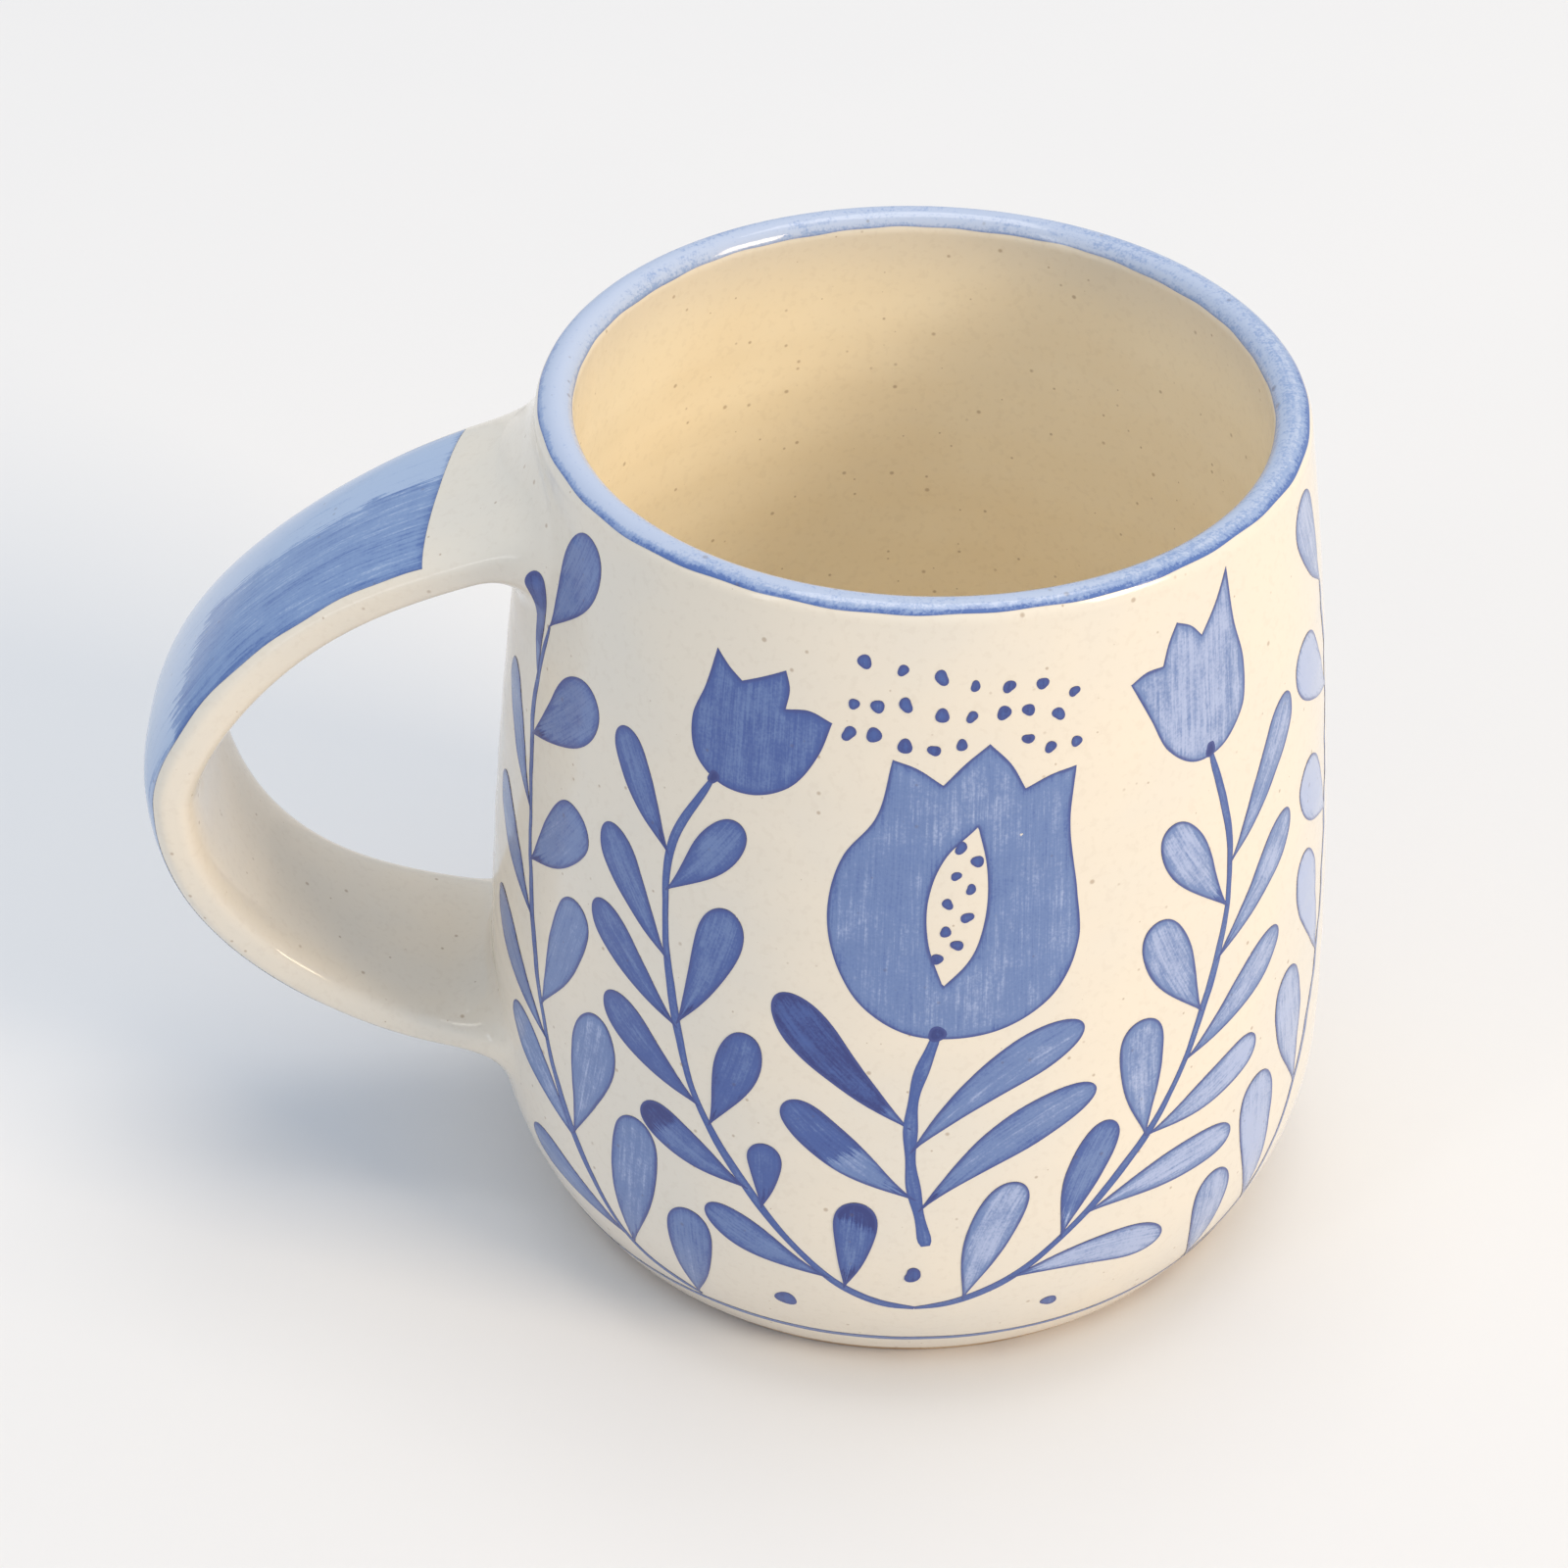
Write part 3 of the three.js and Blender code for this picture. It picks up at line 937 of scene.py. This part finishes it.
def draw_dot(film, place, size, tone=1.2):
    """A dab of the brush tip, never quite round and sometimes dragged."""
    angle = angles_round(DOT_SIDES)
    size = size * (0.8 + 0.4 * rng.random())
    drag, lean = 0.22 * rng.random(), TURN * rng.random()
    radius = size / 2 * (1 + drag * np.cos(2 * (angle - lean)) + 0.07 * np.sin(3 * angle + 2 * lean))
    outline = np.asarray(place) + radius[:, None] * np.stack([np.cos(angle), np.sin(angle)], 1)
    draw_blob(film, outline, place, tone - 0.4 * rng.random(), shares=(0, 0.3, 0.6))


def closed_outline(*runs):
    """Smooth runs that meet at corners, as one closed outline."""
    return np.vstack([smooth_line(run, 0.4)[:-1] for run in runs])


# ---- the painted pattern ---------------------------------------------------------------------
# Every place is in millimetres on the flat sheet: across from the side facing -Y, and up the wall.
def side_of(mirror, shift=0.0):
    """Turns places on the sheet into their mirror image about a line, or leaves them alone."""
    def turned(points):
        points = np.asarray(points, float).copy()
        if mirror:
            points[..., 0] = shift - points[..., 0]
        return points
    return turned


def draw_sprig(film, stem, leaves, turned, tone, stem_width=0.85):
    """A stem and its leaves."""
    line = smooth_line(stem, 0.4)
    rising = np.argsort(line[:, 1])
    draw_stem(film, turned(stem), stem_width)
    for height, reach_across, reach_up, width, arch, loaded in leaves:
        base = np.array([np.interp(height, line[rising, 1], line[rising, 0]), height])
        tip = turned(base + (reach_across, reach_up))
        start = turned(base)
        bend = -arch if turned([1.0, 0.0])[0] < turned([0.0, 0.0])[0] else arch
        draw_leaf(film, start, tip - start, width, bend, tone + 0.35 * (rng.random() - 0.5), loaded)


# a leaf is its height on the stem, its reach across and up, its width, its arch, and the share of its
# length after which it carries a darker load of paint, or 0 for none
CENTRE_STEM = [(1.2, 49.5), (-0.6, 43), (-0.9, 34), (0.8, 23)]
CENTRE_LEAVES = [
    (38.0, -13.0, 14.5, 5.0, -0.15, 0.16),
    (29.0, -12.6, 10.8, 4.8, -0.15, 0.5),
    (35.0, 16.5, 13.5, 4.8, -0.5, 0.0),
    (27.5, 17.0, 13.0, 4.8, -0.5, 0.0),
]
LEFT_STEM = [(0, 13.3), (-3, 14), (-6.5, 16), (-11, 20.5), (-17.5, 29), (-22, 36.5), (-25, 47),
             (-26.5, 57.5), (-26.3, 65), (-22, 74.5)]
LEFT_LEAVES = [
    (64.0, -7.0, 11.5, 4.2, -0.1, 0.0),
    (52.0, -8.6, 12.0, 4.5, -0.1, 0.0),
    (44.5, -11.0, 10.0, 4.4, -0.1, 0.0),
    (36.0, -11.5, 8.5, 4.6, -0.1, 0.0),
    (27.5, -11.7, 5.8, 4.6, -0.1, 0.75),
    (17.6, -12.4, 6.2, 4.2, -0.1, 0.0),
    (60.0, 7.8, 10.3, 4.4, 0.1, 0.0),
    (45.0, 5.0, 15.4, 4.8, 0.15, 0.0),
    (34.0, 3.7, 12.7, 4.6, 0.1, 0.0),
    (25.5, 0.0, 8.3, 3.4, 0.1, 0.0),
    (16.3, 1.0, 12.0, 4.2, 0.1, 0.75),
]
RIGHT_STEM = [(0, 13.3), (3, 14), (7.5, 16.3), (14.5, 22.5), (19.5, 28), (25, 35.3), (29.5, 45),
              (32.7, 56), (33, 63), (30.4, 74.5)]
RIGHT_LEAVES = [
    (60.0, 11.2, 14.0, 4.6, 0.1, 0.0),
    (49.6, 12.6, 11.0, 4.4, 0.1, 0.0),
    (39.3, 14.2, 8.5, 4.6, 0.1, 0.0),
    (32.0, 15.0, 4.3, 4.6, 0.1, 0.0),
    (24.4, 17.9, 1.8, 4.6, -0.3, 0.0),
    (17.4, 16.6, -0.7, 4.6, -0.5, 0.0),
    (55.4, -7.6, 12.6, 5.0, -0.1, 0.0),
    (44.4, -6.0, 13.2, 5.4, -0.1, 0.0),
    (32.0, -0.6, 14.8, 5.2, -0.1, 0.0),
    (22.0, 4.9, 13.6, 4.4, -0.2, 0.2),
    (14.7, 4.9, 15.7, 4.9, -0.2, 0.0),
]
EDGE_STEM = [(-23.5, 6.4), (-29.5, 9.8), (-35.3, 19), (-40.7, 28), (-44.6, 38), (-47.1, 49),
             (-48.5, 59.5), (-49.5, 69.5), (-47.6, 79)]
EDGE_MIRROR = 9.5  # the far sprig is the handle sprig's mirror image about half this
EDGE_INNER_LEAVES = [
    (79.0, 6.7, 13.0, 6.6, 0.1, 0.0),
    (65.5, 11.3, 11.0, 6.6, 0.1, 0.0),
    (51.5, 9.0, 10.8, 6.4, 0.1, 0.0),
    (35.7, 5.7, 16.5, 5.6, 0.1, 0.0),
    (23.0, 3.4, 17.5, 6.0, 0.1, 0.0),
    (11.3, 1.8, 19.5, 6.0, 0.1, 0.0),
    (6.6, 1.0, 15.5, 5.2, 0.1, 0.0),
]
EDGE_OUTER_LEAVES = [
    (72.0, -1.0, 12.0, 2.6, -0.1, 0.3),
    (57.0, -8.9, 12.6, 4.4, -0.1, 0.0),
    (45.0, -11.2, 10.4, 4.8, -0.1, 0.0),
    (32.0, -14.0, 9.7, 4.8, -0.1, 0.0),
    (22.3, -13.0, 8.8, 5.0, 0.1, 0.0),
    (12.0, -15.0, 5.0, 5.2, 0.2, 0.0),
]


def centre_tulip_outline():
    return closed_outline(
        [(-3.9, 80), (-1.6, 79.2), (1.1, 77.4)],
        [(1.1, 77.4), (3.2, 79.6), (5.6, 81.6)],
        [(5.6, 81.6), (7.8, 79.2), (9.2, 76.5)],
        [(9.2, 76.5), (11.8, 77.6), (14.4, 78.1)],
        [(14.4, 78.1), (13.8, 72), (14.6, 64), (14.8, 58.5), (11.9, 52.4), (7.5, 49.7), (3, 48.9),
         (-1.5, 49.4), (-5.5, 51.9), (-8.6, 57), (-9.6, 64), (-8.3, 69.3), (-5.4, 73.5), (-3.9, 80)],
    )


def centre_window():
    return closed_outline(
        [(4.6, 72.8), (5.5, 68.5), (5.5, 63.0), (4.1, 58.0), (1.6, 55.0)],
        [(1.6, 55.0), (0.1, 60), (0.0, 65), (1.5, 69.5), (4.6, 72.8)],
    )


def left_tulip_outline():
    return closed_outline(
        [(-22.6, 88.2), (-21.0, 86.6), (-19.6, 85.6)],
        [(-19.6, 85.6), (-17.4, 86.6), (-15, 87.8)],
        [(-15, 87.8), (-14.5, 86), (-14.8, 83.8)],
        [(-14.8, 83.8), (-12.4, 84.1), (-10.0, 83.2)],
        [(-10.0, 83.2), (-11.2, 79.6), (-14.0, 75.6), (-18, 73.8), (-21.4, 74.1), (-24.3, 76.6),
         (-24.9, 80), (-23.6, 84), (-22.6, 88.2)],
    )


def right_tulip_outline():
    return closed_outline(
        [(20.5, 85), (22.4, 85.8), (24.4, 85.8)],
        [(24.4, 85.8), (25.2, 88.0), (26.3, 89.8)],
        [(26.3, 89.8), (28.2, 88.8), (29.6, 87.3)],
        [(29.6, 87.3), (31.8, 90), (33.6, 93.0)],
        [(33.6, 93.0), (34.4, 87), (35.8, 81.5), (35.2, 77), (32.2, 74.2), (28.6, 73.9), (24.8, 76.6),
         (22.8, 80.6), (20.5, 85)],
    )


DOT_ROWS = [  # how many dots, and where the row starts and ends
    (7, (-6.6, 90.0), (14.5, 86.2)),
    (8, (-8.0, 85.5), (12.3, 83.9)),
    (5, (-8.2, 82.5), (2.7, 81.4)),
    (3, (9.4, 81.1), (14.2, 79.8)),
]
LOOSE_DOTS = [(-0.3, 18.9), (-12.9, 12.4), (13.9, 11.7)]
SEEDS = 9  # in two columns down the window, which leans
SEEDS_TOP, SEEDS_BOTTOM = 70.6, 58.2
WINDOW_MIDDLE = (2.8, 64)
WINDOW_LEAN = 0.16
SEED_COLUMNS = (-0.9, 0.9)
TULIP_CENTRE = (2.9, 64.2)


def draw_dots(film, turned):
    for count, start, end in DOT_ROWS:
        for step in range(count):
            place = lerp(np.array(start), np.array(end), step / (count - 1)) + rng.normal(0, 0.45, 2)
            draw_dot(film, turned(place), 1.3)
    for place in LOOSE_DOTS:
        draw_dot(film, turned(place), 2.0)
    for step in range(SEEDS):
        height = lerp(SEEDS_TOP, SEEDS_BOTTOM, step / (SEEDS - 1))
        lean = WINDOW_LEAN * (height - WINDOW_MIDDLE[1])
        place = (WINDOW_MIDDLE[0] + lean + SEED_COLUMNS[step % 2] + rng.normal(0, 0.15), height)
        draw_dot(film, turned(place), 1.15)


def draw_joining_dab(film, turned, place):
    """The pool of colour where a flower's stem begins."""
    draw_dot(film, turned(place), 1.5, 1.7)


def paint_side(side, brush, turned):
    """All the brushwork on one side of the mug, between the handle and the far edge."""
    leaves = Film(wall_sheet)
    draw_sprig(leaves, CENTRE_STEM, CENTRE_LEAVES, turned, 0.5, 1.2)
    leaves.piece(side + "_centre_leaves", brush)

    tulip = Film(wall_sheet)
    draw_blob(tulip, turned(centre_tulip_outline()), turned(TULIP_CENTRE), 0.45, turned(centre_window()))
    draw_joining_dab(tulip, turned, CENTRE_STEM[0])
    tulip.piece(side + "_centre_tulip", brush)

    # the near-handle spray is painted deeper and the far spray paler: painted shade on the side away from the
    # light, painted light on the lit side, copied onto the back
    for name, stem, leaf_list, outline, centre, tone in (
        ("near_handle", LEFT_STEM, LEFT_LEAVES, left_tulip_outline(), (-18.5, 79.5), 0.8),
        ("far", RIGHT_STEM, RIGHT_LEAVES, right_tulip_outline(), (29.0, 81.5), 0.15),
    ):
        spray = Film(wall_sheet)
        draw_sprig(spray, stem, leaf_list, turned, tone)
        draw_blob(spray, turned(outline), turned(centre), tone)
        draw_joining_dab(spray, turned, stem[-1])
        spray.piece(side + "_" + name + "_tulip_spray", brush)

    beside = Film(wall_sheet)
    draw_sprig(beside, EDGE_STEM, EDGE_INNER_LEAVES + EDGE_OUTER_LEAVES, turned, 0.5)
    beside.piece(side + "_handle_sprig", brush)

    opposite = Film(wall_sheet)
    mirrored = side_of(True, EDGE_MIRROR)
    # the far sprig is painted palest, as painted light on the lit side
    draw_sprig(opposite, EDGE_STEM, EDGE_INNER_LEAVES, lambda points: turned(mirrored(points)), -0.05)
    opposite.piece(side + "_far_sprig", brush)

    dots = Film(wall_sheet)
    draw_dots(dots, turned)
    dots.piece(side + "_dots", brush)


def closed_band(name, look, low, high, shares, wander, tone, load):
    """A brushed line round the cup between two distances along its profile, in rows at these shares."""
    film = Film(wall_sheet)
    sides = 360
    around = angles_round(sides)
    low_edge = low + wander * waves(around, (0.6, 2, 0.5), (0.4, 9, 0), (0.25, 31, 0))
    high_edge = high + wander * waves(around, (0.5, 3, 2), (0.4, 11, 1), (0.2, 37, 0))
    along = lerp(low_edge[None, :], high_edge[None, :], shares[:, None])
    across = around[None, :] * PATTERN_RADIUS + 0 * along
    edge = np.minimum(along - low_edge, high_edge - along).ravel()
    sheet = np.stack([across.ravel(), along.ravel()], 1)
    rows = len(shares)
    faces = grid_faces(rows, sides, close_columns=True)
    borders = [np.arange(sides), (np.arange(sides) + (rows - 1) * sides)[::-1]]
    grain = np.column_stack([np.sin(around)[None, :].repeat(rows, 0).ravel() * 60, along.ravel()])
    film.add(sheet, faces, borders, edge, grain, tone, (along - low_edge).ravel() + load)
    film.piece(name, look)


def paint_handle(look):
    """The stripe on the strap's outer face: a pale wash with a deeper stroke over its near part."""
    film = Film(strap_dome, STRAP_HALF_WIDTH)
    low, high = -0.93, 0.86  # shares of the half width, the near side first
    start, end = 7.6, STRAP.length - 7.0
    slant = 1.9
    rows, columns = 200, 33
    share = np.linspace(0, 1, rows)
    wander = waves(share, (0.009, 23, 0), (0.005, 57, 1))
    across = lerp((low + wander)[:, None], (high - wander)[:, None], np.linspace(0, 1, columns)[None, :])
    along = lerp(start, end, share)[:, None] + slant * (1 - share)[:, None] ** 6 * -across
    sheet = np.stack([across, along], -1).reshape(-1, 2)
    border = rim_of_grid(rows, columns)
    flat = np.column_stack([sheet[:, 0] * STRAP_HALF_WIDTH, sheet[:, 1]])
    edge = edge_distances(flat, [flat[border]])
    stroke_end = start + 0.34 * (end - start)
    load = np.minimum(1.5 - flat[:, 0], (stroke_end - flat[:, 1]) * 0.6 - 0.3 * flat[:, 0])
    grain = np.column_stack([flat[:, 1], flat[:, 0]])
    film.add(sheet, grid_faces(rows, columns), [border], edge, grain, -0.2, load)
    film.piece("handle_stripe", look)


# ---- camera, floor and light -----------------------------------------------------------------
def set_camera():
    """The mug seen from above its near side, with the handle at the left."""
    low, high = cad_bounds
    off_middle = Vector((4.1, 0.0, -0.8)) * MM
    aim = (low + high) / 2 + off_middle
    distance = 449.3 * MM
    azimuth, elevation, roll = math.radians(-0.76), math.radians(36.87), math.radians(0.68)
    back = Vector((
        math.sin(azimuth) * math.cos(elevation),
        -math.cos(azimuth) * math.cos(elevation),
        math.sin(elevation),
    ))
    level = (-back).cross(Vector((0, 0, 1))).normalized()
    upright = level.cross(-back)
    right = level * math.cos(roll) + upright * math.sin(roll)
    up = upright * math.cos(roll) - level * math.sin(roll)
    data = bpy.data.cameras.new("camera")
    data.lens = 99.0
    data.sensor_width = 36.0
    data.clip_start = 0.01
    data.clip_end = 50.0
    camera = add_object("camera", data)
    turned = Matrix((right, up, back)).transposed().to_4x4()
    camera.matrix_world = Matrix.Translation(aim + back * distance) @ turned
    bpy.context.scene.camera = camera


def soft_light(name, direction, distance, size, power, tint):
    """A soft box that faces the mug."""
    data = bpy.data.lights.new(name, "AREA")
    data.shape = "RECTANGLE"
    data.size, data.size_y = size
    data.energy = power
    data.color = tint
    light = add_object(name, data)
    towards = Vector(direction).normalized()
    light.location = towards * distance + Vector((0, 0, MUG_HEIGHT / 2 * MM))
    light.rotation_euler = towards.to_track_quat("Z", "Y").to_euler()


def set_stage():
    """A wide pale floor under soft light from the right, with a bright even surround."""
    sides, radius = 96, 6.0
    angle = angles_round(sides)
    ring = np.stack([radius * np.cos(angle), radius * np.sin(angle), 0 * angle], 1)
    mesh = bpy.data.meshes.new("floor")
    mesh.from_pydata(ring.tolist(), [], [list(range(sides))])
    look = Look("pale_floor", specular=0.2)
    place = look.place()
    base = look.mix(look.noise(place, 60.0, 3.0), colour(232, 231, 231), colour(235, 233, 232))
    mesh.materials.append(look.finish(base, 0.75, look.noise(place, 1.2, 2.0), 0.01))
    floor = add_object("floor", mesh)

    world = bpy.data.worlds.new("studio")
    world.use_nodes = True
    background = world.node_tree.nodes["Background"]
    background.inputs["Color"].default_value = (0.71, 0.79, 0.89, 1.0)
    background.inputs["Strength"].default_value = 0.82
    bpy.context.scene.world = world
    soft_light("key", (0.80, -0.50, 0.50), 2.6, (0.9, 0.9), 38.0, (1.0, 0.80, 0.54))
    soft_light("overhead", (0.05, 0.1, 1.0), 1.6, (0.9, 0.9), 8.0, (1.0, 0.95, 0.88))
    soft_light("strip", (-0.75, -0.75, 0.55), 1.1, (0.12, 0.7), 0.6, (0.92, 0.96, 1.0))
    bpy.context.scene.view_settings.view_transform = "Standard"
    bpy.context.scene.view_settings.look = "None"


# ---- the mug ---------------------------------------------------------------------------------
set_camera()
set_stage()

glaze = cream_glaze()
brushwork_colours = (WASH_PALE, WASH_MIDDLE, WASH_DEEP, WASH_DARK)
stripe_colours = (STRIPE_PALE, STRIPE_MIDDLE, STRIPE_DEEP, WASH_DEEP)
brushwork = painted_wash("cobalt_brushwork", brushwork_colours, 0.9, 0.75, 0.85)
stripe = painted_wash("cobalt_handle_stripe", stripe_colours, 1.5, 0.75, 0.2)
band = painted_band()

make_cup(glaze, bare_clay())
make_strap(glaze)
make_slip_joint("upper_slip_joint", True, 7.0, 4.0, 6.4, glaze)
make_slip_joint("lower_slip_joint", False, 5.0, 4.2, 3.4, glaze)

paint_side("front", brushwork, side_of(False))
paint_side("back", brushwork, side_of(True, -PATTERN_RADIUS * math.pi))
over_lip = (1 - np.cos(np.linspace(0, math.pi, 25))) / 2
thin_line = (ACROSS_STROKE + 1) / 2
closed_band("rim_band", band, RIM_EQUATOR + 1.3, LIP_END - 0.6, over_lip, 0.2, 0.5, 0.0)
closed_band("foot_line", stripe, 5.05, 5.9, thin_line, 0.12, 0.9, NO_LOAD)
paint_handle(stripe)
